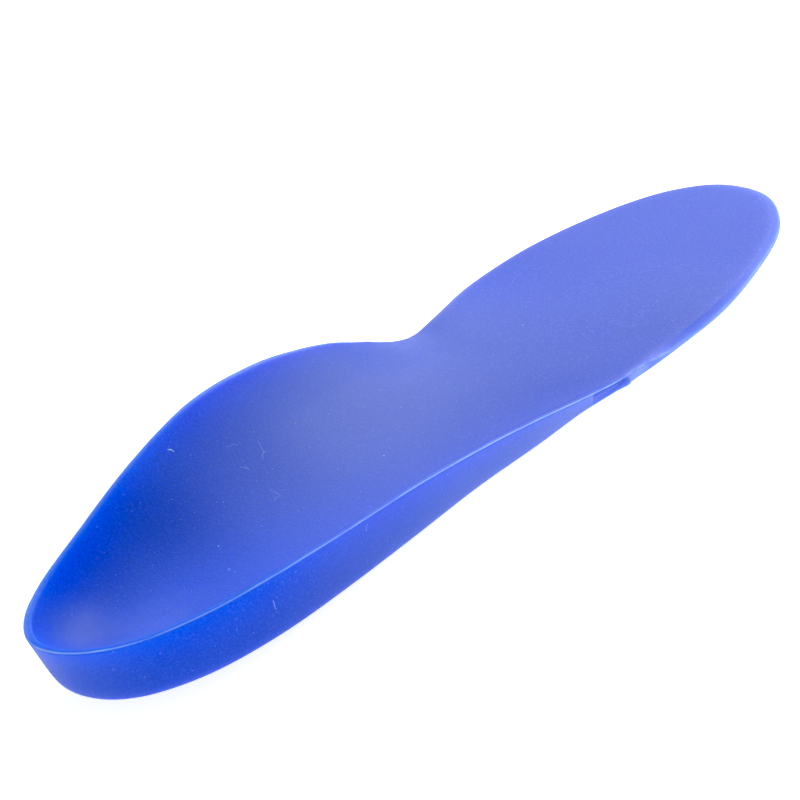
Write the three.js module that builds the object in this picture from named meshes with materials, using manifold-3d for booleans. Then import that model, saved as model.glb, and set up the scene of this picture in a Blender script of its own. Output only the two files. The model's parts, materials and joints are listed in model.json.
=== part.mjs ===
// Orthopedic insole for a right foot: one moulding of soft blue silicone with a heel cup and an arch flange.
// Sizes are in millimetres. +Y runs from heel to toe, +X towards the outer side of the foot, +Z up.
import * as THREE from 'three';
import { LoftGeometry } from 'three/addons/geometries/LoftGeometry.js';
import { mergeGeometries, mergeVertices } from 'three/addons/utils/BufferGeometryUtils.js';
import Module from 'manifold-3d';

// Rim and walls
const RIM_THICKNESS = 1.8;
const RIM_ROUND = 0.4;
const RIM_INNER_DROP = 0.3;
const EDGE_LEAST = 0.8;
const FOOT_LEAST = 0.1;
const SAMPLES_PER_RIB = 4;

// Places along the foot where the ribs start to fan out round the heel and the toes
const HEEL_CENTRE = 35;
const TOE_CENTRE = 215;

// Back of the heel and tip of the toes, where the two sides meet
const HEEL_BACK = { x: 0.0, y: 0, rim: 17.0, foot: 3.9, corner: 6.0, bowl: 4.5, half: 0.0, far: 0.0 };
const TOE_TIP = { x: -6.0, y: 260, rim: 1.0, foot: 0.3, corner: 0.2, bowl: 20.0, half: 0.0, far: 0.0 };

// Edge of each side in sections from heel to toe. x and y place the outer edge, measured from the back of the
// heel; rim is the height of that edge; foot is how far inboard its wall would meet the ground, and corner is the
// reach of the rounding there; bowl says how late the bed turns towards the edge; half and far raise the bed
// half and three quarters of the way out to the edge.
const OUTER_SIDE = [
  { x: 11.0, y: 2.5, rim: 17.5, foot: 4.2, corner: 6.0, bowl: 4.5, half: 0.0, far: 0.0 },
  { x: 20.5, y: 9, rim: 18.0, foot: 4.9, corner: 6.0, bowl: 5.0, half: 0.0, far: 0.0 },
  { x: 28.5, y: 21, rim: 18.5, foot: 5.2, corner: 5.8, bowl: 5.2, half: 0.0, far: 0.0 },
  { x: 33.5, y: 38, rim: 18.5, foot: 5.7, corner: 4.9, bowl: 5.4, half: 0.0, far: 0.0 },
  { x: 35.0, y: 58, rim: 17.0, foot: 5.5, corner: 3.8, bowl: 5.4, half: -0.1, far: 0.0 },
  { x: 35.5, y: 80, rim: 15.0, foot: 5.0, corner: 3.3, bowl: 5.4, half: -0.1, far: 0.0 },
  { x: 35.0, y: 102, rim: 11.5, foot: 4.0, corner: 2.5, bowl: 5.6, half: -0.1, far: 0.0 },
  { x: 35.5, y: 122, rim: 8.0, foot: 2.4, corner: 1.8, bowl: 5.6, half: 0.1, far: 0.0 },
  { x: 35.5, y: 138, rim: 4.5, foot: 1.5, corner: 1.0, bowl: 8.0, half: 0.1, far: 0.3 },
  { x: 36.5, y: 150, rim: 2.6, foot: 0.2, corner: 0.6, bowl: 14.0, half: 0.1, far: 0.5 },
  { x: 38.0, y: 160, rim: 2.3, foot: 0.2, corner: 0.5, bowl: 18.0, half: 0.0, far: 0.4 },
  { x: 39.0, y: 172, rim: 1.0, foot: 0.3, corner: 0.2, bowl: 20.0, half: 0.0, far: 0.1 },
  { x: 39.5, y: 192, rim: 1.0, foot: 0.3, corner: 0.2, bowl: 20.0, half: 0.0, far: 0.0 },
  { x: 35.5, y: 214, rim: 1.0, foot: 0.3, corner: 0.2, bowl: 20.0, half: 0.0, far: 0.0 },
  { x: 29.0, y: 234, rim: 1.0, foot: 0.3, corner: 0.2, bowl: 20.0, half: 0.0, far: 0.0 },
  { x: 18.5, y: 249, rim: 1.0, foot: 0.3, corner: 0.2, bowl: 20.0, half: 0.0, far: 0.0 },
  { x: 7.5, y: 257, rim: 1.0, foot: 0.3, corner: 0.2, bowl: 20.0, half: 0.0, far: 0.0 },
];
const ARCH_SIDE = [
  { x: -11.0, y: 2.5, rim: 16.0, foot: 3.2, corner: 5.9, bowl: 5.3, half: 0.0, far: 0.0 },
  { x: -19.5, y: 9, rim: 16.5, foot: 3.9, corner: 5.9, bowl: 5.7, half: -0.4, far: 0.0 },
  { x: -27.0, y: 21, rim: 17.0, foot: 4.8, corner: 5.6, bowl: 6.0, half: -0.1, far: 0.0 },
  { x: -31.0, y: 38, rim: 20.0, foot: 6.1, corner: 5.0, bowl: 3.9, half: -0.1, far: 0.9 },
  { x: -33.0, y: 58, rim: 25.0, foot: 9.0, corner: 5.5, bowl: 2.0, half: -0.1, far: 0.6 },
  { x: -33.0, y: 80, rim: 29.0, foot: 12.0, corner: 6.4, bowl: 1.6, half: -0.3, far: -0.6 },
  { x: -32.0, y: 102, rim: 27.5, foot: 12.0, corner: 6.1, bowl: 1.6, half: -0.2, far: -0.8 },
  { x: -32.0, y: 122, rim: 21.5, foot: 9.5, corner: 4.7, bowl: 1.7, half: 0.1, far: -0.2 },
  { x: -34.0, y: 138, rim: 13.5, foot: 5.5, corner: 3.0, bowl: 2.3, half: 0.2, far: -0.1 },
  { x: -36.0, y: 150, rim: 7.0, foot: 2.6, corner: 1.5, bowl: 3.0, half: 0.1, far: 0.0 },
  { x: -39.0, y: 160, rim: 3.2, foot: 1.2, corner: 0.7, bowl: 4.8, half: 0.2, far: 0.0 },
  { x: -42.5, y: 172, rim: 1.8, foot: 0.6, corner: 0.4, bowl: 12.0, half: 0.0, far: 0.0 },
  { x: -46.5, y: 192, rim: 1.0, foot: 0.3, corner: 0.2, bowl: 20.0, half: 0.0, far: 0.0 },
  { x: -44.0, y: 214, rim: 1.0, foot: 0.3, corner: 0.2, bowl: 20.0, half: 0.0, far: 0.0 },
  { x: -36.5, y: 234, rim: 1.0, foot: 0.3, corner: 0.2, bowl: 20.0, half: 0.0, far: 0.0 },
  { x: -27.0, y: 249, rim: 1.0, foot: 0.3, corner: 0.2, bowl: 20.0, half: 0.0, far: 0.0 },
  { x: -17.0, y: 257, rim: 1.0, foot: 0.3, corner: 0.2, bowl: 20.0, half: 0.0, far: 0.0 },
];

// Line along the middle of the bed in equal steps of y: where it runs, how thick the moulding is there,
// and how much the bed climbs towards the arch side for each millimetre across
const SPINE = [
  { x: 0.5, y: 35, bed: 5.1, tilt: 0.04 },
  { x: 1.0, y: 65, bed: 6.1, tilt: 0.14 },
  { x: 1.5, y: 95, bed: 6.6, tilt: 0.22 },
  { x: 0.5, y: 125, bed: 5.9, tilt: 0.20 },
  { x: -1.5, y: 155, bed: 4.0, tilt: 0.06 },
  { x: -3.5, y: 185, bed: 2.8, tilt: -0.02 },
  { x: -4.0, y: 215, bed: 2.4, tilt: 0.00 },
];

// Round top of the rim: share of its thickness crossed, and share of the rounding still to climb
const RIM_SECTION = [
  { across: 0.0, below: 1.0 },
  { across: 0.12, below: 0.42 },
  { across: 0.35, below: 0.06 },
  { across: 0.65, below: 0.04 },
];

// Rings up the rounded bottom corner, and rings of the bed from the rim in to its middle line
const CORNER_STEPS = [0, 0.35, 0.7, 1];
const BED_STEPS = [1, 0.97, 0.935, 0.89, 0.83, 0.76, 0.68, 0.58, 0.46, 0.32, 0.18, 0.06];

// Cut-off moulding gate on the outer edge: a scoop and the nub at its front end
const GATE_Y = 147.1;
const GATE_LENGTH = 11.4;
const GATE_HEIGHT = 2.2;
const GATE_DEPTH = 0.5;
const GATE_MIDDLE_HEIGHT = 1.6;
const NUB_Y = 152.5;
const NUB_LENGTH = 4.0;
const NUB_REACH = 0.6;
const NUB_HEIGHT = 1.4;

const SILICONE_COLOUR = 0x5573e0;

// Smooth curve through up to three columns of a table
function curveThrough(rows, columns, closed) {
  const points = rows.map((row) => new THREE.Vector3(...columns.map((name) => row[name])));
  return new THREE.CatmullRomCurve3(points, closed, 'catmullrom', 0.5);
}

const ribs = [HEEL_BACK, ...OUTER_SIDE, TOE_TIP, ...ARCH_SIDE.toReversed()];
const outline = curveThrough(ribs, ['x', 'y', 'rim'], true);
const wallForm = curveThrough(ribs, ['foot', 'corner'], true);
const bedForm = curveThrough(ribs, ['bowl', 'half', 'far'], true);
const spine = curveThrough(SPINE, ['x', 'y', 'bed'], false);
const spineTilt = curveThrough(SPINE, ['tilt'], false);

// Share of the middle line at which the rib at this place along the foot starts
function spineShare(y) {
  return (THREE.MathUtils.clamp(y, HEEL_CENTRE, TOE_CENTRE) - HEEL_CENTRE) / (TOE_CENTRE - HEEL_CENTRE);
}

// Height of the bed, at a share of the way from its middle out to the end of a rib
function bedHeight(form, middle, end, share) {
  const lean = form.tilt * (middle.x - end.x);
  const bowl = lean * share + (end.z - middle.z - lean) * share ** form.bowl;
  const halfWay = form.half * 16 * share ** 2 * (1 - share) ** 2;
  const farOut = form.far * (256 / 27) * share ** 3 * (1 - share);
  return middle.z + bowl + halfWay + farOut;
}

// Everything that one rib needs, at a share of the way round the outline
function ribAt(share) {
  const edge = outline.getPoint(share);
  const ahead = outline.getPoint((share + 0.0005) % 1);
  const behind = outline.getPoint((share + 0.9995) % 1);
  const outward = new THREE.Vector3(ahead.y - behind.y, behind.x - ahead.x, 0).normalize();
  const rim = Math.max(edge.z, EDGE_LEAST);
  edge.setZ(rim);
  const [wallFoot, corner] = wallForm.getPoint(share);
  const foot = Math.max(wallFoot, FOOT_LEAST);
  const middle = spine.getPoint(spineShare(edge.y));
  const tilt = spineTilt.getPoint(spineShare(edge.y)).x;
  const [bowl, half, far] = bedForm.getPoint(share);
  const form = { bowl, half, far, tilt };
  const round = Math.min(RIM_ROUND, 0.35 * rim);
  const inner = edge.clone().addScaledVector(outward, -RIM_THICKNESS);
  const length = Math.hypot(edge.x - middle.x, edge.y - middle.y);
  inner.z = Math.max(rim - RIM_INNER_DROP, bedHeight(form, middle, edge, 1 - RIM_THICKNESS / length));
  return { edge, outward, rim, foot, corner, form, middle, round, inner };
}

// Point on the outer wall: up the rounded bottom corner, which starts on the ground
function cornerPoint(rib, share) {
  const top = rib.edge.clone().setZ(rib.rim - rib.round);
  const foot = rib.edge.clone().addScaledVector(rib.outward, -rib.foot).setZ(0);
  const ground = foot.clone().addScaledVector(rib.outward, -rib.corner);
  const wall = foot.clone().addScaledVector(top.clone().sub(foot).normalize(), rib.corner);
  return new THREE.QuadraticBezierCurve3(ground, foot, wall).getPoint(share);
}

// Point on the rounded top of the rim
function rimPoint(rib, row) {
  const point = rib.edge.clone().addScaledVector(rib.outward, -RIM_THICKNESS * row.across);
  return point.setZ(THREE.MathUtils.lerp(rib.rim, rib.inner.z, row.across) - rib.round * row.below);
}

// Point on the bed, at a share of the way from the middle line to the rim
function bedPoint(rib, share) {
  const point = rib.middle.clone().lerp(rib.inner, share);
  return point.setZ(bedHeight(rib.form, rib.middle, rib.inner, share));
}

// Narrow strip along the middle line that closes the innermost ring of the bed, from heel to toe
function bedStrip(ring) {
  const half = ring.length / 2;
  const rungs = Array.from({ length: half + 1 }, (_, k) => [ring.at(-k), ring[k]]);
  return new LoftGeometry(rungs, { closed: false });
}

function mouldingGeometry() {
  const count = ribs.length * SAMPLES_PER_RIB;
  const rows = Array.from({ length: count }, (_, k) => ribAt(k / count));
  const rings = [];
  for (const share of CORNER_STEPS) rings.push(rows.map((rib) => cornerPoint(rib, share)));
  for (const step of RIM_SECTION) rings.push(rows.map((rib) => rimPoint(rib, step)));
  for (const share of BED_STEPS) rings.push(rows.map((rib) => bedPoint(rib, share)));
  const walls = new LoftGeometry(rings, { closed: true, capStart: true });
  const skin = mergeGeometries([walls, bedStrip(rings.at(-1))]);
  skin.deleteAttribute('normal');
  skin.deleteAttribute('uv');
  return mergeVertices(skin, 1e-4);
}

// Ball stretched to full sizes across, along and up, turned to follow the outer edge
function stretchedBall(across, along, up, place, turn) {
  const ball = new THREE.SphereGeometry(0.5, 16, 10);
  ball.deleteAttribute('normal');
  ball.deleteAttribute('uv');
  const merged = mergeVertices(ball, 1e-4);
  merged.scale(across, along, up);
  merged.rotateZ(turn);
  merged.translate(place.x, place.y, place.z);
  return merged;
}

// Rib on the outer side whose edge lies at this place along the foot
function outerRibAt(y) {
  let low = 0;
  let high = 0.5;
  for (let step = 0; step < 30; step += 1) {
    const middle = (low + high) / 2;
    if (outline.getPoint(middle).y < y) low = middle;
    else high = middle;
  }
  return ribAt(low);
}

const wasm = await Module();
wasm.setup();

function solidFrom(geometry) {
  const places = new Float32Array(geometry.attributes.position.array);
  const corners = [];
  const index = geometry.index.array;
  for (let k = 0; k < index.length; k += 3) {
    const [a, b, c] = [index[k], index[k + 1], index[k + 2]];
    if (a !== b && b !== c && c !== a) corners.push(a, b, c);
  }
  const mesh = new wasm.Mesh({ numProp: 3, vertProperties: places, triVerts: new Uint32Array(corners) });
  return new wasm.Manifold(mesh);
}

function geometryFrom(solid) {
  const mesh = solid.getMesh();
  const geometry = new THREE.BufferGeometry();
  geometry.setAttribute('position', new THREE.BufferAttribute(new Float32Array(mesh.vertProperties), 3));
  geometry.setIndex(new THREE.BufferAttribute(new Uint32Array(mesh.triVerts), 1));
  return geometry;
}

const gateRib = outerRibAt(GATE_Y);
const gateTurn = Math.atan2(gateRib.outward.y, gateRib.outward.x);
const gatePlace = gateRib.edge.clone().setZ(GATE_MIDDLE_HEIGHT);
const scoop = stretchedBall(2 * GATE_DEPTH, GATE_LENGTH, GATE_HEIGHT, gatePlace, gateTurn);

const nubRib = outerRibAt(NUB_Y);
const nubPlace = nubRib.edge.clone().setZ(NUB_HEIGHT / 2);
const nub = stretchedBall(2 * NUB_REACH, NUB_LENGTH, NUB_HEIGHT, nubPlace, gateTurn);

const moulding = solidFrom(mouldingGeometry()).subtract(solidFrom(scoop)).add(solidFrom(nub));
const geometry = geometryFrom(moulding);

// The origin lies on the ground under the middle of the insole
geometry.computeBoundingBox();
const centre = geometry.boundingBox.getCenter(new THREE.Vector3());
geometry.translate(-centre.x, -centre.y, 0);
geometry.computeVertexNormals();

const silicone = new THREE.MeshStandardMaterial({ color: SILICONE_COLOUR, roughness: 0.55, metalness: 0 });
const insole = new THREE.Mesh(geometry, silicone);
insole.name = 'insole';

const part = new THREE.Group();
part.name = 'orthopedic_insole';
part.add(insole);

export default part;
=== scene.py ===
# %% [markdown]
# # A blue silicone insole
# This lesson dresses a solid that was built in CAD: an orthopedic insole for a right foot, moulded in one
# piece from soft blue silicone. The solid gives the size and the place of everything.

# %% Load the solid
import json
import math
from collections import namedtuple

import bmesh
import bpy
from mathutils import Matrix, Vector, noise

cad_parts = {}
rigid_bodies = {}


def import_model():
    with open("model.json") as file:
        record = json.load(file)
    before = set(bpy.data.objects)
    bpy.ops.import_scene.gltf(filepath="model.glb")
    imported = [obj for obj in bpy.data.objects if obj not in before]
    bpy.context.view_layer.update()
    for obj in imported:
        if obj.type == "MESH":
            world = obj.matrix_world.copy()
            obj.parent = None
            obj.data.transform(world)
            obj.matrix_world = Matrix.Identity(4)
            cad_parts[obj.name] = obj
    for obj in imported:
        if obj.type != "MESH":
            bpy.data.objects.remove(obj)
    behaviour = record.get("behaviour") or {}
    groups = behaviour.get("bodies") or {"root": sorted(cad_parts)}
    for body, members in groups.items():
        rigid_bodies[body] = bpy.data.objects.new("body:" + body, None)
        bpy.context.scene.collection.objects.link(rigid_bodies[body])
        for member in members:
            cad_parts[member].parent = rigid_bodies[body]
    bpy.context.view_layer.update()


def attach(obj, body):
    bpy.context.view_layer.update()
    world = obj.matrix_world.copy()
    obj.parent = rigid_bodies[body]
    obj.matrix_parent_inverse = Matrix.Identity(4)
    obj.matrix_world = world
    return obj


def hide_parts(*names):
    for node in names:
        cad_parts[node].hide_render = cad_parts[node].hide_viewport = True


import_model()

MM = 0.001

# %% [markdown]
# ## The edge of the insole
# The real insole is ruled by its edge: high round the heel, highest at the arch, low along the outer
# side and thin round the toes. One could trace the outline as a curve object and sculpt the rest, but a
# short table keeps every height in plain sight. Each row is a place on the edge, in millimetres from
# the back of the heel: `rim` is the height of the edge, `foot` says how far inboard its wall would meet
# the ground, `corner` how far the rounding there reaches, and `bowl` how late the bed turns up towards
# the edge (a large number means a flat bed with a quick turn at the very end). `half` and `far` lift
# the bed a little, half and three quarters of the way out. The rows are the same as in the solid. A
# separate program fitted most of them to the outline and the shading of one photograph, and they were
# rounded after that, so they are estimates and not measurements.

# %% Edge tables
Edge = namedtuple("Edge", "x y rim foot corner bowl half far")

HEEL_BACK = Edge(0.0, 0, 17.0, 3.9, 6.0, 4.5, 0.0, 0.0)
TOE_TIP = Edge(-6.0, 260, 1.0, 0.3, 0.2, 20.0, 0.0, 0.0)
OUTER_SIDE = [
    Edge(11.0, 2.5, 17.5, 4.2, 6.0, 4.5, 0.0, 0.0),
    Edge(20.5, 9, 18.0, 4.9, 6.0, 5.0, 0.0, 0.0),
    Edge(28.5, 21, 18.5, 5.2, 5.8, 5.2, 0.0, 0.0),
    Edge(33.5, 38, 18.5, 5.7, 4.9, 5.4, 0.0, 0.0),
    Edge(35.0, 58, 17.0, 5.5, 3.8, 5.4, -0.1, 0.0),
    Edge(35.5, 80, 15.0, 5.0, 3.3, 5.4, -0.1, 0.0),
    Edge(35.0, 102, 11.5, 4.0, 2.5, 5.6, -0.1, 0.0),
    Edge(35.5, 122, 8.0, 2.4, 1.8, 5.6, 0.1, 0.0),
    Edge(35.5, 138, 4.5, 1.5, 1.0, 8.0, 0.1, 0.3),
    Edge(36.5, 150, 2.6, 0.2, 0.6, 14.0, 0.1, 0.5),
    Edge(38.0, 160, 2.3, 0.2, 0.5, 18.0, 0.0, 0.4),
    Edge(39.0, 172, 1.0, 0.3, 0.2, 20.0, 0.0, 0.1),
    Edge(39.5, 192, 1.0, 0.3, 0.2, 20.0, 0.0, 0.0),
    Edge(35.5, 214, 1.0, 0.3, 0.2, 20.0, 0.0, 0.0),
    Edge(29.0, 234, 1.0, 0.3, 0.2, 20.0, 0.0, 0.0),
    Edge(18.5, 249, 1.0, 0.3, 0.2, 20.0, 0.0, 0.0),
    Edge(7.5, 257, 1.0, 0.3, 0.2, 20.0, 0.0, 0.0),
]
ARCH_SIDE = [
    Edge(-11.0, 2.5, 16.0, 3.2, 5.9, 5.3, 0.0, 0.0),
    Edge(-19.5, 9, 16.5, 3.9, 5.9, 5.7, -0.4, 0.0),
    Edge(-27.0, 21, 17.0, 4.8, 5.6, 6.0, -0.1, 0.0),
    Edge(-31.0, 38, 20.0, 6.1, 5.0, 3.9, -0.1, 0.9),
    Edge(-33.0, 58, 25.0, 9.0, 5.5, 2.0, -0.1, 0.6),
    Edge(-33.0, 80, 29.0, 12.0, 6.4, 1.6, -0.3, -0.6),
    Edge(-32.0, 102, 27.5, 12.0, 6.1, 1.6, -0.2, -0.8),
    Edge(-32.0, 122, 21.5, 9.5, 4.7, 1.7, 0.1, -0.2),
    Edge(-34.0, 138, 13.5, 5.5, 3.0, 2.3, 0.2, -0.1),
    Edge(-36.0, 150, 7.0, 2.6, 1.5, 3.0, 0.1, 0.0),
    Edge(-39.0, 160, 3.2, 1.2, 0.7, 4.8, 0.2, 0.0),
    Edge(-42.5, 172, 1.8, 0.6, 0.4, 12.0, 0.0, 0.0),
    Edge(-46.5, 192, 1.0, 0.3, 0.2, 20.0, 0.0, 0.0),
    Edge(-44.0, 214, 1.0, 0.3, 0.2, 20.0, 0.0, 0.0),
    Edge(-36.5, 234, 1.0, 0.3, 0.2, 20.0, 0.0, 0.0),
    Edge(-27.0, 249, 1.0, 0.3, 0.2, 20.0, 0.0, 0.0),
    Edge(-17.0, 257, 1.0, 0.3, 0.2, 20.0, 0.0, 0.0),
]
EDGE_RIBS = [HEEL_BACK, *OUTER_SIDE, TOE_TIP, *reversed(ARCH_SIDE)]
print("rows round the edge:", len(EDGE_RIBS))

# %% [markdown]
# ## The middle of the bed
# Down the middle of the bed runs a line that every cross-section starts from. It is thick under the
# heel and the arch, and thin under the toes. Under the arch the bed leans: `tilt` is how much it climbs
# towards the arch side for each millimetre. Thickness and lean were fitted in the same way. The rows
# are equally spaced, so one smooth curve can be read at any `y`.

# %% Middle line
Middle = namedtuple("Middle", "x y bed tilt")

MIDDLE_LINE = [
    Middle(0.5, 35, 5.1, 0.04),
    Middle(1.0, 65, 6.1, 0.14),
    Middle(1.5, 95, 6.6, 0.22),
    Middle(0.5, 125, 5.9, 0.20),
    Middle(-1.5, 155, 4.0, 0.06),
    Middle(-3.5, 185, 2.8, -0.02),
    Middle(-4.0, 215, 2.4, 0.00),
]
HEEL_CENTRE = MIDDLE_LINE[0].y
TOE_CENTRE = MIDDLE_LINE[-1].y


def smooth_row(rows, place, closed):
    """One row of a table, read on a smooth curve that passes through all its rows."""
    count = len(rows)
    step = int(place) % count if closed else min(int(place), count - 2)
    part = place - int(place) if closed else place - step

    def row(k):
        if closed:
            return rows[k % count]
        if k < 0:
            return [2 * a - b for a, b in zip(rows[0], rows[1])]
        if k >= count:
            return [2 * a - b for a, b in zip(rows[-1], rows[-2])]
        return rows[k]

    blend = []
    for a, b, c, d in zip(row(step - 1), row(step), row(step + 1), row(step + 2)):
        curve = (2 * a - 5 * b + 4 * c - d) * part ** 2 + (3 * b - a - 3 * c + d) * part ** 3
        blend.append(0.5 * (2 * b + (c - a) * part + curve))
    return type(rows[0])(*blend)


def bed_middle(y):
    """Row of the middle line that the rib at this distance from the heel starts from."""
    along = min(max(y, HEEL_CENTRE), TOE_CENTRE)
    step = (TOE_CENTRE - HEEL_CENTRE) / (len(MIDDLE_LINE) - 1)
    return smooth_row(MIDDLE_LINE, (along - HEEL_CENTRE) / step, closed=False)


ARCH_MIDDLE = 95
print("bed under the arch in mm:", round(bed_middle(ARCH_MIDDLE).bed, 2))

# %% [markdown]
# ## Ribs
# A rib is one cut through the moulding, from the middle line out to the edge. The rim is 1.8 mm thick
# with a rounded top. Round the toes the edge is thinner than the bed, so there the bed rolls down to
# meet it. Ribs stand closer together near the moulding gate on the outer side, where a small mark needs
# a finer mesh.

# %% Ribs round the insole
RIM_THICKNESS = 1.8
RIM_ROUND, RIM_ROUND_SHARE = 0.4, 0.35
RIM_INNER_DROP = 0.3
EDGE_LEAST = 0.8
FOOT_LEAST = 0.1
RIBS_PER_ROW = 6
RIBS_PER_GATE_ROW = 24
GATE_ROWS = (9, 10, 11)
LOOK_ASIDE = 0.02
HALF_PEAK, FAR_PEAK = 1 / 16, 27 / 256

Rib = namedtuple("Rib", "edge outward rim foot form middle tilt round inner")


def bed_height(form, middle, tilt, end, share):
    """Height of the bed, this share of the way from its middle out to the end of the rib."""
    lean = tilt * (middle.x - end.x)
    bowl = lean * share + (end.z - middle.z - lean) * share ** form.bowl
    half_way = form.half * share ** 2 * (1 - share) ** 2 / HALF_PEAK
    far_out = form.far * share ** 3 * (1 - share) / FAR_PEAK
    return middle.z + bowl + half_way + far_out


def rib_at(place):
    """The rib at this place round the edge, counted in rows of the table."""
    form = smooth_row(EDGE_RIBS, place, closed=True)
    ahead = smooth_row(EDGE_RIBS, place + LOOK_ASIDE, closed=True)
    behind = smooth_row(EDGE_RIBS, place - LOOK_ASIDE + len(EDGE_RIBS), closed=True)
    outward = Vector((ahead.y - behind.y, behind.x - ahead.x, 0)).normalized()
    rim = max(form.rim, EDGE_LEAST)
    edge = Vector((form.x, form.y, rim))
    row = bed_middle(form.y)
    middle = Vector((row.x, row.y, row.bed))
    inner = edge - outward * RIM_THICKNESS
    rolled = bed_height(form, middle, row.tilt, edge, 1 - RIM_THICKNESS / (edge.xy - middle.xy).length)
    inner.z = max(rim - RIM_INNER_DROP, rolled)
    foot = max(form.foot, FOOT_LEAST)
    top_round = min(RIM_ROUND, RIM_ROUND_SHARE * rim)
    return Rib(edge, outward, rim, foot, form, middle, row.tilt, top_round, inner)


rib_places = []
for row in range(len(EDGE_RIBS)):
    opposite = len(EDGE_RIBS) - 1 - row
    fine = row in GATE_ROWS or opposite in GATE_ROWS
    count = RIBS_PER_GATE_ROW if fine else RIBS_PER_ROW
    rib_places += [row + k / count for k in range(count)]
ribs = [rib_at(place) for place in rib_places]
sides = (min(rib.edge.x for rib in ribs), max(rib.edge.x for rib in ribs))
PART_ORIGIN = Vector((sum(sides) / 2, (HEEL_BACK.y + TOE_TIP.y) / 2, 0))
print("ribs:", len(ribs), "origin in the table's millimetres:", [round(v, 2) for v in PART_ORIGIN])

# %% [markdown]
# ## Places on a rib
# A few small functions give the points of a rib in order: across the flat sole, up the rounded bottom
# corner and the wall, over the rim, and down into the bed. The places are in the part's own frame, in
# metres.

# %% Points on a rib
def in_part(point):
    """From the table's millimetres to metres in the part's frame."""
    return (point - PART_ORIGIN) * MM


def ground_point(rib):
    """Where the rounded bottom corner leaves the sole, still in the table's millimetres."""
    return (rib.edge - rib.outward * (rib.foot + rib.form.corner)).xy.to_3d()


def sole_point(rib, share):
    return in_part(rib.middle.xy.to_3d().lerp(ground_point(rib), share))


def wall_point(rib, corner, up):
    """First round the bottom corner, then up the flat of the wall."""
    top = rib.edge - Vector((0, 0, rib.round))
    foot = (rib.edge - rib.outward * rib.foot).xy.to_3d()
    on_wall = foot + (top - foot).normalized() * rib.form.corner
    bend = ground_point(rib).lerp(foot, corner).lerp(foot.lerp(on_wall, corner), corner)
    return in_part(bend.lerp(top, up))


def rim_point(rib, across, below):
    point = rib.edge - rib.outward * (RIM_THICKNESS * across)
    point.z = rib.rim + (rib.inner.z - rib.rim) * across - rib.round * below
    return in_part(point)


def bed_point(rib, share):
    point = rib.middle.lerp(rib.inner, share)
    point.z = bed_height(rib.form, rib.middle, rib.tilt, rib.inner, share)
    return in_part(point)


print("top of the arch flange in mm:", round(max(rib.rim for rib in ribs), 1))

# %% [markdown]
# ## The moulding
# The insole is drawn as one loop that travels: a circle is laid along the edge of the sole and pulled
# into the outline, then its edges are extruded again and again, each time moved to the next place on
# the ribs: up the wall, over the rim, and down to the middle line. A second run covers the flat sole.
# The loops are kept in lists, because the next steps dress the wall and the rim before the skin is
# closed.

# %% Extrude the loop
CORNER_STEPS = (0.25, 0.5, 0.75, 1.0)
WALL_STEPS = (0.35, 0.65, 0.85, 0.95)
RIM_STEPS = ((0.0, 1.0), (0.05, 0.6), (0.14, 0.3), (0.3, 0.06), (0.55, 0.0), (0.8, 0.08))
BED_STEPS = (1.0, 0.98, 0.955, 0.925, 0.885, 0.835, 0.77, 0.69, 0.59, 0.47, 0.33, 0.17, 0.0)
SOLE_STEPS = (0.95, 0.75, 0.4, 0.0)
FIRST_RADIUS = 0.1


def extrude_loop(bm, loop, places):
    """Extrudes a loop of edges and moves the new loop's points to these places."""
    edges = [bm.edges.get(pair) for pair in zip(loop, loop[1:] + loop[:1])]
    made = bmesh.ops.extrude_edge_only(bm, edges=edges)["geom"]
    fresh = {part for part in made if isinstance(part, bmesh.types.BMVert)}
    following = []
    for point, place in zip(loop, places):
        twin = next(edge.other_vert(point) for edge in point.link_edges if edge.other_vert(point) in fresh)
        twin.co = place
        following.append(twin)
    return following


moulding = bmesh.new()
# Attributes for painted light in the silicone: painted glow, painted paler light, light through thin walls,
# and where the gloss is drowned.
glow = moulding.verts.layers.float.new("glow")
painted_light = moulding.verts.layers.float.new("painted_light")
clear = moulding.verts.layers.float.new("clear")
through = moulding.verts.layers.float.new("through")
sole_edge = bmesh.ops.create_circle(moulding, segments=len(ribs), radius=FIRST_RADIUS)["verts"]
for point, rib in zip(sole_edge, ribs):
    point.co = wall_point(rib, 0.0, 0.0)

wall_loops = [sole_edge]
for corner in CORNER_STEPS:
    wall_loops.append(extrude_loop(moulding, wall_loops[-1], [wall_point(rib, corner, 0.0) for rib in ribs]))
for up in WALL_STEPS:
    wall_loops.append(extrude_loop(moulding, wall_loops[-1], [wall_point(rib, 1.0, up) for rib in ribs]))
rim_loops = wall_loops[-1:]
for across, below in RIM_STEPS:
    rim_loops.append(extrude_loop(moulding, rim_loops[-1], [rim_point(rib, across, below) for rib in ribs]))
bed_loops = rim_loops[-1:]
for share in BED_STEPS:
    bed_loops.append(extrude_loop(moulding, bed_loops[-1], [bed_point(rib, share) for rib in ribs]))
sole_loops = [sole_edge]
for share in SOLE_STEPS:
    sole_loops.append(extrude_loop(moulding, sole_loops[-1], [sole_point(rib, share) for rib in ribs]))
loop_counts = [len(loops) for loops in (wall_loops, rim_loops, bed_loops, sole_loops)]
print("loops up the wall, rim, bed and sole:", *loop_counts)

# %% [markdown]
# ## The mark of the moulding gate
# The outer edge has a mark that looks like a cut-off moulding gate, where the silicone ran into the
# mould: a shallow scoop in the low wall, with a sharp start, and a small nub at its front end. A
# boolean with a stretched ball would do, but it tears the even mesh; the ribs stand close together
# here, so the points of the wall are simply pushed in and out.

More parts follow.
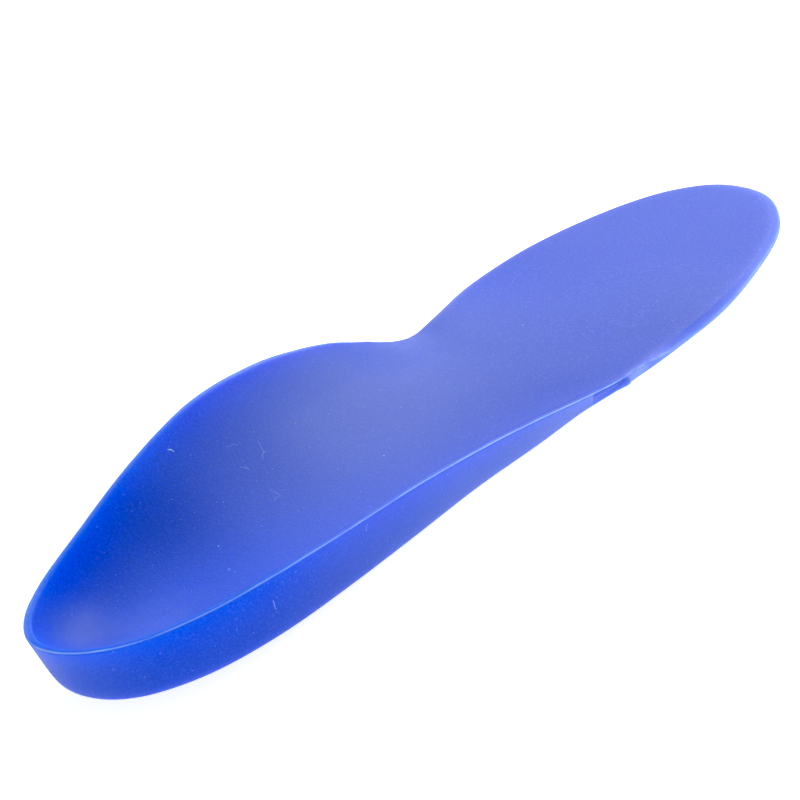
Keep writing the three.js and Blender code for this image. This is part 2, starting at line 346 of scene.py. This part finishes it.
# %% Press the gate mark
GATE_START, GATE_END, GATE_DEPTH = 141.4, 153.0, 0.4
GATE_SHARP, GATE_FADE, GATE_UP, GATE_LIP = 0.6, 0.8, (0.2, 0.8), (0.1, 0.45)
NUB_START, NUB_TOP, NUB_END, NUB_REACH = 149.3, 153.3, 154.6, 0.65
NUB_BLUNT, NUB_UP = 0.3, (1.8, 0.9)
GATE_RIM_LOOPS = slice(1, 4)
PUSH_SEEN = 0.05


def ease(value, low, high):
    """Rises smoothly from 0 at low to 1 at high."""
    part = min(max((value - low) / (high - low), 0.0), 1.0)
    return part * part * (3 - 2 * part)


def gate_push(y, z, rim):
    """How far the wall stands out at this place along the foot and at this height, in millimetres."""
    along = ease(y, GATE_START, GATE_START + GATE_SHARP) * ease(y, GATE_END, GATE_END - GATE_FADE)
    up = ease(z, *GATE_UP) * ease(z, *(rim - drop for drop in GATE_LIP))
    bulge = ease(y, NUB_START, NUB_TOP) * ease(y, NUB_END, NUB_TOP + NUB_BLUNT)
    return NUB_REACH * bulge * ease(z, *NUB_UP) - GATE_DEPTH * along * up


pushed = 0
for loop in wall_loops + rim_loops[GATE_RIM_LOOPS]:
    for point, rib in zip(loop, ribs):
        push = gate_push(rib.edge.y, point.co.z / MM, rib.rim) if rib.outward.x > 0 else 0.0
        point.co += rib.outward * push * MM
        pushed += abs(push) > PUSH_SEEN
print("points pushed at the gate:", pushed)

# %% [markdown]
# ## Flash on the rim
# The two halves of a mould meet along an edge like this rim, so it is never quite even: it rises and
# dips by a tenth of a millimetre. A noise texture on a Displace modifier could do this, but it would
# move the whole skin; moving only the loops of the rim, by a noise that is the same in every run,
# leaves bed and wall clean.

# %% Ruffle the rim
FLASH_HEIGHT = 0.13
FLASH_PER_METRE = 420
FLASH_RIM = (3, 12)

for loop in rim_loops[1:]:
    for point, rib in zip(loop, ribs):
        high = ease(rib.rim, *FLASH_RIM)
        point.co.z += noise.noise(rib.edge * MM * FLASH_PER_METRE) * FLASH_HEIGHT * high * MM
print("highest point of the rim in mm:", round(max(point.co.z for point in rim_loops[-2]) / MM, 2))

# %% [markdown]
# ## Light in the wall
# Silicone lets light in. What shows of it is painted into the colour and kept on the points of the mesh as
# four attributes that the material reads later: `glow` is the painted brighter blue of the heel, `through`
# the painted greener blue of light that comes through a thin wall, `clear` is where that light drowns the
# gloss of the skin, and the fourth holds painted light that makes the blue paler. The wall comes first. It
# has painted glow at the heel and under its high rim, and painted paler light where it is low, with a
# painted reflection of the table towards its bottom. In front of the gate runs a painted strip of light
# through the thin edge, and the sharp start of the scoop gets a painted highlight.
# Painting weights by hand would do the same, but would have to be done again after every change of
# shape.

# %% Mark the wall
HIGH_RIM, THIN_RIM = (5, 14), (3, 1.5)
WALL_GLOW, WALL_GLOW_LEAST, HEEL_SPAN = 0.28, 0.3, (60, 0)
RIM_GLOW, GLOW_ON_WALL, THROUGH_SPAN = 0.30, 4.0, (70, 30)
CLEAR_MOST, CLEAR_ON_WALL, CLEAR_FRONT, CLEAR_BACK = 0.92, 9.0, (60, 25), (-4, 14)
# Painted light on the wall: paler where it is low, a reflection of the table at its base, light through thin
# edges, a strip in front of the gate, a highlight at the notch, and painted shade in the scoop.
LOW_WALL, LOW_WALL_PAINTED_LIGHT = 18.0, 0.36
WALL_BASE_REFLECTION, WALL_BASE_SPAN = 0.16, (20, 110)
THIN_EDGE_LIGHT = 0.48
STRIP_LIGHT, STRIP_START, STRIP_END = 0.64, (151.3, 155.0), (168.0, 157.0)
SCOOP_SHADE, SCOOP_SHADE_TOP, SCOOP_FADE = 0.3, 0.9, 1.0
NOTCH_HIGHLIGHT, NOTCH_WIDTH, NOTCH_UP = 0.45, 0.4, (0.3, 0.6)


def strip_light(rib):
    """Painted strip of light through the thin edge in front of the gate."""
    if rib.outward.x < 0:
        return 0.0
    return STRIP_LIGHT * ease(rib.edge.y, *STRIP_START) * ease(rib.edge.y, *STRIP_END)


def scoop_share(rib):
    """1 inside the gate's scoop, 0 elsewhere."""
    begin = ease(rib.edge.y, GATE_START, GATE_START + GATE_SHARP)
    inside = begin * ease(rib.edge.y, GATE_END, NUB_START + SCOOP_FADE)
    return inside if rib.outward.x > 0 else 0.0


def notch_highlight(rib):
    """Painted highlight at the sharp start of the scoop."""
    if rib.outward.x < 0:
        return 0.0
    return NOTCH_HIGHLIGHT * math.exp(-((rib.edge.y - GATE_START) / NOTCH_WIDTH) ** 2)


for loop in wall_loops:
    shade = SCOOP_SHADE_TOP if loop is wall_loops[-2] else SCOOP_SHADE
    for point, rib in zip(loop, ribs):
        y, height = rib.edge.y, point.co.z / MM
        lit = math.exp((height - rib.rim) / GLOW_ON_WALL)
        drowned = math.exp((height - rib.rim) / CLEAR_ON_WALL)
        heel_glow = WALL_GLOW * (WALL_GLOW_LEAST + ease(y, *HEEL_SPAN))
        # Painted light: paler on a low wall (less in the painted shade of the scoop), a painted reflection
        # of the table towards the bottom, a painted highlight at the start of the scoop and painted light
        # through a thin edge.
        low = max(1 - rib.rim / LOW_WALL, 0.0) * (1 - shade * scoop_share(rib))
        table_reflection = WALL_BASE_REFLECTION * (1 - height / rib.rim) ** 2 * ease(y, *WALL_BASE_SPAN)
        notch_glint = notch_highlight(rib) * ease(height / rib.rim, *NOTCH_UP)
        thin_light = THIN_EDGE_LIGHT * ease(rib.rim, *THIN_RIM)
        point[glow] = heel_glow + RIM_GLOW * ease(rib.rim, *HIGH_RIM) * lit
        point[clear] = CLEAR_MOST * drowned * ease(y, *CLEAR_FRONT) * ease(y, *CLEAR_BACK)
        point[through] = lit * ease(y, *THROUGH_SPAN)
        point[painted_light] = max(LOW_WALL_PAINTED_LIGHT * low + table_reflection, strip_light(rib), notch_glint, thin_light)
print("loops marked on the wall:", len(wall_loops))

# %% [markdown]
# ## Light along the rim
# A painted highlight runs along the outer edge of the rim, as uneven as the flash. On the arch side, which
# is seen against the light, the rim is painted soft and pale with backlight instead, and round the toes the
# thin edge fades to a paler blue of painted light coming through it. Each loop of the rim lies at a known
# share of its width, so the highlight is a matter of choosing the right loops.

# %% Mark the rim
# Painted light on the rim: a highlight along its outer edge, backlight on the arch side, and light through
# the thin edge.
RIM_HIGHLIGHT, RIM_LINE_FRONT, RIM_LINE_BACK = 0.42, 0.20, 0.20
LINE_FRONT_SPAN, LINE_BACK_SPAN = (30, 120), (12, 0)
LINE_FROM, LINE_TO, LINE_UNEVEN = 0.03, 0.2, 0.5
THIN_INNER_LIGHT = 0.16
FAR_RIM_BACKLIGHT, FAR_FACING, FAR_SPAN = 0.42, (-0.2, -0.7), (150, 110)
RIM_TOP_GLOW, RIM_CLEAR, STRIP_ON_RIM = 0.4, 0.7, 0.7

for (across, _), loop in zip(RIM_STEPS, rim_loops[1:]):
    for point, rib in zip(loop, ribs):
        y = rib.edge.y
        far = ease(rib.outward.x, *FAR_FACING) * ease(y, *FAR_SPAN)
        # Painted highlight along the outer edge of the rim; below it, painted light through the thin edge
        # and painted backlight on the arch side.
        rim_highlight = RIM_HIGHLIGHT + RIM_LINE_FRONT * ease(y, *LINE_FRONT_SPAN)
        rim_highlight += RIM_LINE_BACK * ease(y, *LINE_BACK_SPAN)
        uneven = 1 + LINE_UNEVEN * noise.noise(rib.edge * MM * FLASH_PER_METRE)
        rim_highlight *= (LINE_FROM < across < LINE_TO) * uneven * (1 - far)
        edge_through_light = THIN_INNER_LIGHT + (THIN_EDGE_LIGHT - THIN_INNER_LIGHT) * (1 - across) ** 2
        thin_light = edge_through_light * ease(rib.rim, *THIN_RIM)
        far_backlight = FAR_RIM_BACKLIGHT * (1 - across) * far
        strip = strip_light(rib) * (1 - across) * STRIP_ON_RIM
        point[glow] = WALL_GLOW + RIM_GLOW * (RIM_TOP_GLOW + far) * ease(rib.rim, *HIGH_RIM)
        point[clear] = CLEAR_MOST * ease(y, *CLEAR_FRONT) * (RIM_CLEAR + (1 - RIM_CLEAR) * far)
        point[through] = max(ease(y, *THROUGH_SPAN), far)
        point[painted_light] = max(rim_highlight, far_backlight, thin_light, strip)
print("loops marked on the rim:", len(rim_loops) - 1)

# %% [markdown]
# ## Light in the bed
# The heel cup gathers light, so its blue is painted brighter than that of the forefoot, apart from a place
# of painted shade at its back. On the arch side, light from behind comes through the flange, and that is
# painted too. Two patches of painted sheen lie on the bed, a soft step of painted light runs along the arch,
# and round the toes the painted light of the thin edge fades into the bed. All of it is a matter of
# distance: from the rim, from the middle of a patch, or from the step.

# %% Mark the bed
CUP_GLOW, CUP_SPAN = 0.70, (150, 30)
GLOW_ON_BED, BED_LIT_BACK, BED_LIT_FRONT = 6.0, (5, 30), (130, 90)
CLEAR_ON_BED, BEHIND_FACING, BEHIND_FRONT, BEHIND_BACK = 14.0, (0.3, -0.6), (90, 30), (3, 24)
THROUGH_ON_BED, THROUGH_BACK, THROUGH_FRONT = 4.0, (-2, 12), (90, 60)
THIN_REACH = 1.0

Patch = namedtuple("Patch", "x y reach strength")
# Patches of painted sheen on the bed, and one patch of painted shade at the back of the heel.
SHEEN_PATCHES = [Patch(-17, 102, 26, 0.092), Patch(-4, 29, 11, 0.11)]
SHADE = Patch(-15, 17, 10, 0.80)
CREASE_X, CREASE_REACH, CREASE_LIGHT, CREASE_STEP = -17, 10, 0.035, (-2.5, 1.0)
CREASE_BACK, CREASE_FRONT = (80, 100), (155, 130)


def in_patch(point, patch):
    """Strength of a soft round patch of the bed at this point."""
    spot = point.co / MM + PART_ORIGIN
    away = Vector((patch.x, patch.y)) - spot.xy
    return patch.strength * math.exp(-away.length_squared / patch.reach ** 2)


def crease_light(point):
    """Painted light at a soft step along the arch: the bed is painted paler on the side of its middle."""
    spot = point.co / MM + PART_ORIGIN
    past = spot.x - CREASE_X
    along = ease(spot.y, *CREASE_BACK) * ease(spot.y, *CREASE_FRONT)
    return CREASE_LIGHT * along * ease(past, *CREASE_STEP) * math.exp(-max(past, 0.0) / CREASE_REACH)


for loop in bed_loops[1:]:
    for point, start, rib in zip(loop, bed_loops[1], ribs):
        y, away = rib.edge.y, (point.co - start.co).length / MM
        cup = CUP_GLOW * ease(point.co.y / MM + PART_ORIGIN.y, *CUP_SPAN) * (1 - in_patch(point, SHADE))
        rim_lit = RIM_GLOW * ease(rib.rim, *HIGH_RIM) * ease(y, *BED_LIT_BACK) * ease(y, *BED_LIT_FRONT)
        behind = ease(rib.outward.x, *BEHIND_FACING) * ease(y, *BEHIND_FRONT) * ease(y, *BEHIND_BACK)
        lit_through = ease(y, *THROUGH_BACK) * ease(y, *THROUGH_FRONT)
        # Painted sheen in two patches, painted light at the step along the arch and painted light of the
        # thin edge.
        painted_sheen = sum(in_patch(point, patch) for patch in SHEEN_PATCHES) + crease_light(point)
        thin_light = THIN_INNER_LIGHT * ease(rib.rim, *THIN_RIM)
        point[glow] = cup + rim_lit * math.exp(-away / GLOW_ON_BED)
        point[clear] = CLEAR_MOST * behind * math.exp(-away / CLEAR_ON_BED)
        point[through] = lit_through * math.exp(-away / THROUGH_ON_BED)
        point[painted_light] = thin_light * math.exp(-away / THIN_REACH) + painted_sheen
GLOW_SEEN = 0.5
glowing_points = sum(point[glow] > GLOW_SEEN for point in moulding.verts)
print("points that glow:", glowing_points, "of", len(moulding.verts))

# %% [markdown]
# ## Closing the skin
# On the middle line the two sides of the loop lie on each other, in the bed and in the sole. Merging
# the doubles closes both seams. A Subdivision Surface then rounds what the ribs leave faceted; its
# levels are the same in the viewport and in the render, so that nothing changes between the two.

# %% Make the insole an object
SEAM_GAP, SHORTEST_EDGE = 1e-6, 1e-7

bmesh.ops.remove_doubles(moulding, verts=moulding.verts, dist=SEAM_GAP)
bmesh.ops.dissolve_degenerate(moulding, edges=moulding.edges, dist=SHORTEST_EDGE)
bmesh.ops.recalc_face_normals(moulding, faces=moulding.faces)
for face in moulding.faces:
    face.smooth = True
open_edges = [edge for edge in moulding.edges if not edge.is_manifold]
print("faces:", len(moulding.faces), "open edges:", len(open_edges))

insole_mesh = bpy.data.meshes.new("insole_moulding")
moulding.to_mesh(insole_mesh)
moulding.free()
insole = bpy.data.objects.new("insole_moulding", insole_mesh)
bpy.context.scene.collection.objects.link(insole)
soften = insole.modifiers.new("soften", "SUBSURF")
soften.levels = soften.render_levels = 1
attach(insole, "root")
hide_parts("insole")

# %% [markdown]
# ## Writing shaders as expressions
# The material is a tree of nodes. Wiring it by hand in the Shader Editor is pleasant for ten nodes and
# tiresome for fifty, so a small class wraps a socket: adding or multiplying two of them adds a Math
# node, and one method adds any other kind of node, with its settings first and its sockets after them.

# %% A class for sockets
class Layer:
    """An output socket of a node; arithmetic on it adds Math nodes to the same tree."""

    def __init__(self, socket):
        self.socket = socket

    def node(self, kind, settings, sockets, output=0):
        """Adds a node of any kind and gives back one of its outputs."""
        tree = self.socket.id_data
        made = tree.nodes.new(kind)
        for name, setting in settings.items():
            setattr(made, name, setting)
        for name, source in sockets.items():
            if isinstance(source, Layer):
                tree.links.new(source.socket, made.inputs[name])
            else:
                made.inputs[name].default_value = source
        return Layer(made.outputs[output])

    def maths(self, operation, first, second):
        return self.node("ShaderNodeMath", {"operation": operation}, {0: first, 1: second})

    def __add__(self, other):
        return self.maths("ADD", self, other)

    def __radd__(self, other):
        return self.maths("ADD", other, self)

    def __sub__(self, other):
        return self.maths("SUBTRACT", self, other)

    def __rsub__(self, other):
        return self.maths("SUBTRACT", other, self)

    def __mul__(self, other):
        return self.maths("MULTIPLY", self, other)

    def __rmul__(self, other):
        return self.maths("MULTIPLY", other, self)

    def fade(self, full, none):
        """A mask that is 1 up to the value full and has fallen to 0 at the value none."""
        limits = {"Value": self, "From Min": full, "From Max": none, "To Min": 1.0, "To Max": 0.0}
        return self.node("ShaderNodeMapRange", {"interpolation_type": "SMOOTHSTEP"}, limits)

    def vector(self, operation, *sources, output=0):
        return self.node("ShaderNodeVectorMath", {"operation": operation}, dict(enumerate(sources)), output)

    def over(self, under, colour):
        """Lays a colour over another one, with this layer as the mask."""
        return self.node("ShaderNodeMix", {"data_type": "RGBA"}, {0: self, 6: under, 7: colour}, output=2)


silicone = bpy.data.materials.new("blue_silicone")
silicone.use_nodes = True
shader = silicone.node_tree.nodes["Principled BSDF"]
place = Layer(silicone.node_tree.nodes.new("ShaderNodeTexCoord").outputs["Object"])
print("nodes to start with:", len(silicone.node_tree.nodes))

# %% [markdown]
# ## The body of the silicone
# Seen close, the blue is not one colour. The pigment drifts by a few per cent over a hand's width, and the
# skin of the mould left a fine matte grain. On top lies painted light: a brighter blue where light gathers
# or comes through, and a paler blue of painted highlights, painted reflection and painted light through thin
# edges. Noise textures on Object coordinates give the first two at their real sizes, because those
# coordinates are metres on the part; the attributes kept on the points give the painted light.

# %% Pigment, grain and painted light
DEEP_BLUE = (0.003, 0.048, 0.496, 1)
DRIFTED_BLUE = (0.004, 0.053, 0.530, 1)
GRAIN_LIGHT = (0.070, 0.128, 0.620, 1)
GRAIN_DARK = (0.002, 0.037, 0.450, 1)
# Colours of painted light: the glow of the heel, light through a thin wall, and the paler blue of painted
# highlights and reflections.
GLOW_BLUE = (0.001, 0.078, 0.800, 1)
THROUGH_BLUE = (0.001, 0.135, 0.800, 1)
PAINTED_LIGHT_BLUE = (0.400, 0.500, 0.800, 1)
DRIFT_PER_METRE, GRAIN_PER_METRE, NOISE_DETAIL = 24, 1700, 2
HEELWARD_FULL, HEELWARD_NONE = -0.03, 0.05
GRAIN_CREST, CREST_STRENGTH, CREST_LOST_AT_HEEL = (0.5, 0.72), 0.68, 0.36
GRAIN_HOLLOW, HOLLOW_STRENGTH = (0.3, 0.5), 0.5


def noise_layer(scale, detail, output=0):
    return place.node("ShaderNodeTexNoise", {}, {"Vector": place, "Scale": scale, "Detail": detail}, output)


def attribute_layer(name):
    return place.node("ShaderNodeAttribute", {"attribute_name": name}, {}, output=2)


drift = noise_layer(DRIFT_PER_METRE, NOISE_DETAIL)
grain = noise_layer(GRAIN_PER_METRE, NOISE_DETAIL)
along_foot = place.node("ShaderNodeSeparateXYZ", {}, {0: place}, output="Y")
heelward = along_foot.fade(HEELWARD_FULL, HEELWARD_NONE)
pigment = drift.over(DEEP_BLUE, DRIFTED_BLUE)
# Painted light: a brighter blue in the heel where light gathers, and a greener blue where it comes through a
# thin wall.
lit_blue = attribute_layer("through").over(GLOW_BLUE, THROUGH_BLUE)
glowing = attribute_layer("glow").over(pigment, lit_blue)
crests = (1 - grain.fade(*GRAIN_CREST)) * (CREST_STRENGTH - heelward * CREST_LOST_AT_HEEL)
lit_grain = crests.over(glowing, GRAIN_LIGHT)
grained = (grain.fade(*GRAIN_HOLLOW) * HOLLOW_STRENGTH).over(lit_grain, GRAIN_DARK)
# Painted light: the paler blue of painted highlights, reflections and light through thin edges.
with_painted_light = attribute_layer("painted_light").over(grained, PAINTED_LIGHT_BLUE)
print("nodes for the body:", len(silicone.node_tree.nodes))

# %% [markdown]
# ## Dust
# Silicone is slightly tacky and gathers dust: pale specks of a third to half of a millimetre, some
# close together and some alone, with more of the fine ones at the heel. A Voronoi texture scatters
# points, its distance gives each speck a round edge, and its random colour drops most of the points so
# that no even spacing shows. Small spheres on the skin would be far too heavy.

# %% Scatter the dust
Specks = namedtuple("Specks", "per_metre radius kept")

DUST_WHITE = (0.50, 0.68, 1.0, 1)
COARSE_DUST = Specks(200, 0.00026, 0.32)
FINE_DUST = Specks(600, 0.00017, 0.45)
FINE_LEAST, FINE_AT_HEEL, DUST_STRENGTH = 0.1, 0.45, 0.6
SPECK_CORE, CHANCE_EDGE = 0.5, 0.02


def dust_layer(specks):
    cells = {"Vector": place, "Scale": specks.per_metre}
    reach = specks.radius * specks.per_metre
    near = place.node("ShaderNodeTexVoronoi", {}, cells, output="Distance")
    chance = place.node("ShaderNodeTexVoronoi", {}, cells, output="Color")
    return near.fade(reach * SPECK_CORE, reach) * chance.fade(specks.kept, specks.kept + CHANCE_EDGE)


dust = dust_layer(COARSE_DUST) + dust_layer(FINE_DUST) * (FINE_LEAST + heelward * FINE_AT_HEEL)
dusty = (dust * DUST_STRENGTH).over(with_painted_light, DUST_WHITE)
print("nodes with the dust:", len(silicone.node_tree.nodes))

# %% [markdown]
# ## Fibres
# A few hairs and lint threads lie on the bed and the outer wall. Each is a short line between two
# places: the shader measures how far a point is from that line, and a little noise bends it. Curves
# with a bevel would throw shadows of their own, but these threads are thinner than the grain of the
# mesh.

# %% Lay the fibres
Fibre = namedtuple("Fibre", "start end across strength")

ON_BED, ON_WALL = (1, 1, 0), (0, 1, 1)
FIBRE_HALF_WIDTH, FIBRE_CORE, FIBRE_FRINGE = 0.00008, 0.5, 1.6
WANDER_PER_METRE, WANDER_DETAIL, WANDER_REACH = 600, 1, 0.0012
OUTER_FROM, OUTER_FULL = 0.0, 0.005
MID_GREY = (0.5, 0.5, 0.5)
FIBRES = [
    Fibre((-25.1, -63.8, 0), (-24.1, -63.3, 0), ON_BED, 0.8),
    Fibre((-15.0, -46.1, 0), (-12.7, -46.9, 0), ON_BED, 0.25),
    Fibre((-12.7, -46.9, 0), (-11.8, -49.1, 0), ON_BED, 0.25),
    Fibre((-13.6, -54.4, 0), (-11.9, -53.6, 0), ON_BED, 0.3),
    Fibre((-18.4, -52.7, 0), (-17.4, -50.5, 0), ON_BED, 0.18),
    Fibre((-5.1, -54.9, 0), (-2.8, -54.4, 0), ON_BED, 0.16),
    Fibre((-2.8, -54.4, 0), (-2.6, -56.7, 0), ON_BED, 0.16),
    Fibre((-27.8, 62.0, 0), (-30.1, 69.7, 0), ON_BED, 0.12),
    Fibre((0, -93.8, 12.3), (0, -93.3, 9.8), ON_WALL, 0.3),
    Fibre((0, -66.0, 14.7), (0, -66.4, 13.2), ON_WALL, 0.3),
]

across_foot = place.node("ShaderNodeSeparateXYZ", {}, {0: place}, output="X")
outer_side = 1 - across_foot.fade(OUTER_FROM, OUTER_FULL)
wobble = noise_layer(WANDER_PER_METRE, WANDER_DETAIL, output="Color")
wander = wobble.vector("SUBTRACT", wobble, MID_GREY)
bent = place.vector("ADD", place, wander.vector("MULTIPLY", wander, (WANDER_REACH,) * 3))


def fibre_layer(fibre):
    start, end = Vector(fibre.start) * MM, Vector(fibre.end) * MM
    along = end - start
    from_start = bent.vector("SUBTRACT", bent.vector("MULTIPLY", bent, fibre.across), tuple(start))
    share = from_start.vector("DOT_PRODUCT", from_start, tuple(along / along.length_squared), output="Value")
    nearest = place.maths("MINIMUM", place.maths("MAXIMUM", share, 0.0), 1.0)
    foot_point = place.node("ShaderNodeCombineXYZ", {}, dict(enumerate(nearest * axis for axis in along)))
    away = from_start.vector("DISTANCE", from_start, foot_point, output="Value")
    thread = away.fade(FIBRE_HALF_WIDTH * FIBRE_CORE, FIBRE_HALF_WIDTH * FIBRE_FRINGE) * fibre.strength
    return thread * outer_side if fibre.across == ON_WALL else thread


lint = fibre_layer(FIBRES[0])
for fibre in FIBRES[1:]:
    lint = place.maths("MAXIMUM", lint, fibre_layer(fibre))
linty = lint.over(dusty, DUST_WHITE)
print("fibres:", len(FIBRES))

# %% [markdown]
# ## The finished silicone
# The colour, a roughness that follows the grain, and a very low bump go to the Principled shader. Most
# of the look is in its subsurface: light enters the rubber and comes out a few millimetres away, blue
# furthest and red least, which softens the shading as in the real thing. Transmission would do it more
# exactly, but takes far longer to render. A second shader with hardly any gloss is mixed in where the
# light comes through from behind.

# %% Put the silicone together
GRAIN_BUMP, BUMP_STRENGTH, BUMP_DISTANCE = 0.6, 0.8, 0.0001
ROUGHNESS, ROUGHNESS_OF_GRAIN, ROUGHNESS_OF_DUST = 0.46, 0.12, 0.2
RUBBER_IOR = 1.41
LIGHT_REACH, LIGHT_REACH_SCALE = (0.2, 0.5, 1.0), 0.006
MATTE_GLOSS = 0.05

bump_height = grain * GRAIN_BUMP + dust + lint
bump = {"Strength": BUMP_STRENGTH, "Distance": BUMP_DISTANCE, "Height": bump_height}
relief = place.node("ShaderNodeBump", {}, bump)
roughness = ROUGHNESS + grain * ROUGHNESS_OF_GRAIN + dust * ROUGHNESS_OF_DUST
matte = silicone.node_tree.nodes.new("ShaderNodeBsdfPrincipled")
for skin in (shader, matte):
    for name, layer in {"Base Color": linty, "Roughness": roughness, "Normal": relief}.items():
        silicone.node_tree.links.new(layer.socket, skin.inputs[name])
    skin.inputs["IOR"].default_value = RUBBER_IOR
    skin.inputs["Subsurface Weight"].default_value = 1.0
    skin.inputs["Subsurface Radius"].default_value = LIGHT_REACH
    skin.inputs["Subsurface Scale"].default_value = LIGHT_REACH_SCALE
matte.inputs["Specular IOR Level"].default_value = MATTE_GLOSS
skins = {0: attribute_layer("clear"), 1: Layer(shader.outputs[0]), 2: Layer(matte.outputs[0])}
whole = place.node("ShaderNodeMixShader", {}, skins)
silicone.node_tree.links.new(whole.socket, silicone.node_tree.nodes["Material Output"].inputs["Surface"])
insole_mesh.materials.append(silicone)
print("nodes in the silicone:", len(silicone.node_tree.nodes))

# %% [markdown]
# ## The table under it
# The insole was photographed on a white table, lit until almost no shadow was left. A plain grid is enough
# for it. The table glows a little of its own, as a light table does, which keeps the shadow under the insole
# pale.

# %% White table
TABLE_WHITE = (0.8, 0.8, 0.8, 1)
TABLE_GLOW = 0.85
TABLE_HALF_WIDTH = 6.0
PAPER_ROUGHNESS = 0.9

table_shape = bmesh.new()
bmesh.ops.create_grid(table_shape, x_segments=1, y_segments=1, size=TABLE_HALF_WIDTH)
table_mesh = bpy.data.meshes.new("table")
table_shape.to_mesh(table_mesh)
table_shape.free()
table = bpy.data.objects.new("table", table_mesh)
bpy.context.scene.collection.objects.link(table)

white_paper = bpy.data.materials.new("white_paper")
white_paper.use_nodes = True
paper = white_paper.node_tree.nodes["Principled BSDF"]
paper.inputs["Base Color"].default_value = TABLE_WHITE
paper.inputs["Roughness"].default_value = PAPER_ROUGHNESS
paper.inputs["Emission Color"].default_value = (1, 1, 1, 1)
paper.inputs["Emission Strength"].default_value = TABLE_GLOW
table_mesh.materials.append(white_paper)
print("table width in metres:", table.dimensions.x)

# %% [markdown]
# ## Soft boxes
# The light comes mostly from behind the toes and from the far side, high and soft: the flat forefoot and the
# front of the arch mirror it as a pale veil, while the deep heel cup mirrors its own blue wall and stays
# dark. One big lamp could not give both, so a row of round soft boxes stands in a ring, each with its own
# strength. A program solved for first strengths that bring the shading near the photograph, and they were
# changed after that.

# %% Set up the lights
SoftBox = namedtuple("SoftBox", "turn height radiance")

SOFT_BOXES = [
    SoftBox(70, 38, 1.45),
    SoftBox(100, 38, 3.45),
    SoftBox(130, 38, 2.3),
    SoftBox(80, 62, 3.2),
    SoftBox(120, 62, 1.1),
    SoftBox(130, 14, 1.0),
]
BOX_RADIUS = 0.45
BOX_DISTANCE = 1.4
ROOM_LIGHT = 0.3

for box in SOFT_BOXES:
    lamp = bpy.data.lights.new("soft_box", "AREA")
    lamp.shape = "DISK"
    lamp.size = 2 * BOX_RADIUS
    lamp.energy = box.radiance * math.pi * math.pi * BOX_RADIUS ** 2
    turn, height = math.radians(box.turn), math.radians(box.height)
    away = Vector((math.cos(turn) * math.cos(height), math.sin(turn) * math.cos(height), math.sin(height)))
    stand = bpy.data.objects.new("soft_box", lamp)
    stand.location = away * BOX_DISTANCE
    stand.rotation_euler = away.to_track_quat("Z", "Y").to_euler()
    stand.visible_camera = False
    bpy.context.scene.collection.objects.link(stand)

room = bpy.data.worlds.new("room")
room.use_nodes = True
room.node_tree.nodes["Background"].inputs["Color"].default_value = (1, 1, 1, 1)
room.node_tree.nodes["Background"].inputs["Strength"].default_value = ROOM_LIGHT
bpy.context.scene.world = room
print("soft boxes:", len(SOFT_BOXES))

# %% [markdown]
# ## Finishing the picture
# In the photograph the red of this deep blue falls to nothing in the dark places. The render keeps a
# trace of red there, which makes the blue look violet. The black level of the red channel takes that
# trace away; white stays white.

# %% Colour of the picture
RED_BLACK = 0.015

look = bpy.context.scene.view_settings
look.view_transform = "Standard"
look.use_curve_mapping = True
look.curve_mapping.black_level = (RED_BLACK, 0, 0)
look.curve_mapping.update()
print("view transform:", look.view_transform)

# %% [markdown]
# ## The camera
# The photograph looks down on the insole from behind its outer side with a long lens, and is tilted so
# that the toes point to the upper right corner. The angles were found by fitting the outline. Blender's
# helpers could aim a camera at an empty, but they cannot give it this roll, so its three axes are
# worked out and put in its matrix.

# %% Camera
CAMERA_AZIMUTH = math.radians(48.586)
CAMERA_ELEVATION = math.radians(24.533)
CAMERA_ROLL = math.radians(17.426)
CAMERA_DISTANCE = 582.34
CAMERA_TARGET = Vector((-21.956, 133.685, 0))
CAMERA_LENS, SENSOR_WIDTH = 103.47, 36
NEAREST_SEEN = 0.01

right = Vector((math.cos(CAMERA_AZIMUTH), math.sin(CAMERA_AZIMUTH), 0))
back = Vector((
    math.sin(CAMERA_AZIMUTH) * math.cos(CAMERA_ELEVATION),
    -math.cos(CAMERA_AZIMUTH) * math.cos(CAMERA_ELEVATION),
    math.sin(CAMERA_ELEVATION),
))
up = back.cross(right)
rolled_right = right * math.cos(CAMERA_ROLL) - up * math.sin(CAMERA_ROLL)
rolled_up = right * math.sin(CAMERA_ROLL) + up * math.cos(CAMERA_ROLL)
lens = bpy.data.cameras.new("camera")
lens.lens = CAMERA_LENS
lens.sensor_width = SENSOR_WIDTH
lens.clip_start = NEAREST_SEEN
camera = bpy.data.objects.new("camera", lens)
stand_point = Matrix.Translation(in_part(CAMERA_TARGET + back * CAMERA_DISTANCE))
camera.matrix_world = stand_point @ Matrix((rolled_right, rolled_up, back)).transposed().to_4x4()
bpy.context.scene.collection.objects.link(camera)
bpy.context.scene.camera = camera
print("camera height in metres:", round(camera.matrix_world.translation.z, 3))
